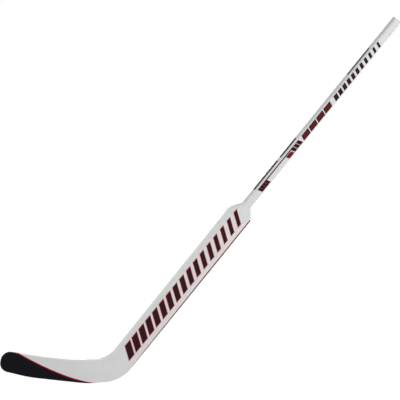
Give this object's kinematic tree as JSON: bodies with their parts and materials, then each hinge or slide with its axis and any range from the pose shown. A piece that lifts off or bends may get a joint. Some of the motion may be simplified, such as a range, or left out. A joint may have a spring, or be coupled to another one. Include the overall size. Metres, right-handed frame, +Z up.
{
  "type": "hockey goalie stick",
  "caption": "Ice hockey goalie stick with a slim shaft, a broad crowned paddle with sloping shoulders, and a rockered, curved blade that narrows to a rounded toe.",
  "frame": {"origin": "middle of the flat of the sole, in the middle plane of the handle", "axes": "+Z up from the ice, -X towards the toe, +X the way the handle leans, -Y out of the convex back-hand face of the blade"},
  "size_m": [1.0492, 0.0275, 1.2291],
  "materials": {
    "shaft_wood": "aspen plies, light grey paint on the sides",
    "edge_wood": "hardwood, white paint on the edges",
    "foam": "rigid closed-cell foam",
    "laminate": "glass laminate, white gloss paint",
    "stiffener": "carbon strip",
    "sole_strip": "painted hard-wearing plastic"
  },
  "bodies": {
    "root": {"shaft_core": "shaft_wood", "shaft_ply_front": "shaft_wood", "shaft_ply_back": "shaft_wood", "shaft_laminate_front": "laminate", "shaft_laminate_back": "laminate", "shoulder_block_toe_side": "edge_wood", "shoulder_block_heel_side": "edge_wood", "paddle_foam_toe_side": "foam", "paddle_foam_heel_side": "foam", "paddle_rail_toe_side": "edge_wood", "paddle_rail_heel_side": "edge_wood", "paddle_skin_front": "laminate", "paddle_skin_back": "laminate", "heel_block": "edge_wood", "blade_core": "edge_wood", "blade_stiffener": "stiffener", "blade_sole_strip": "sole_strip", "blade_skin_front": "laminate", "blade_skin_back": "laminate"}
  },
  "joints": []
}
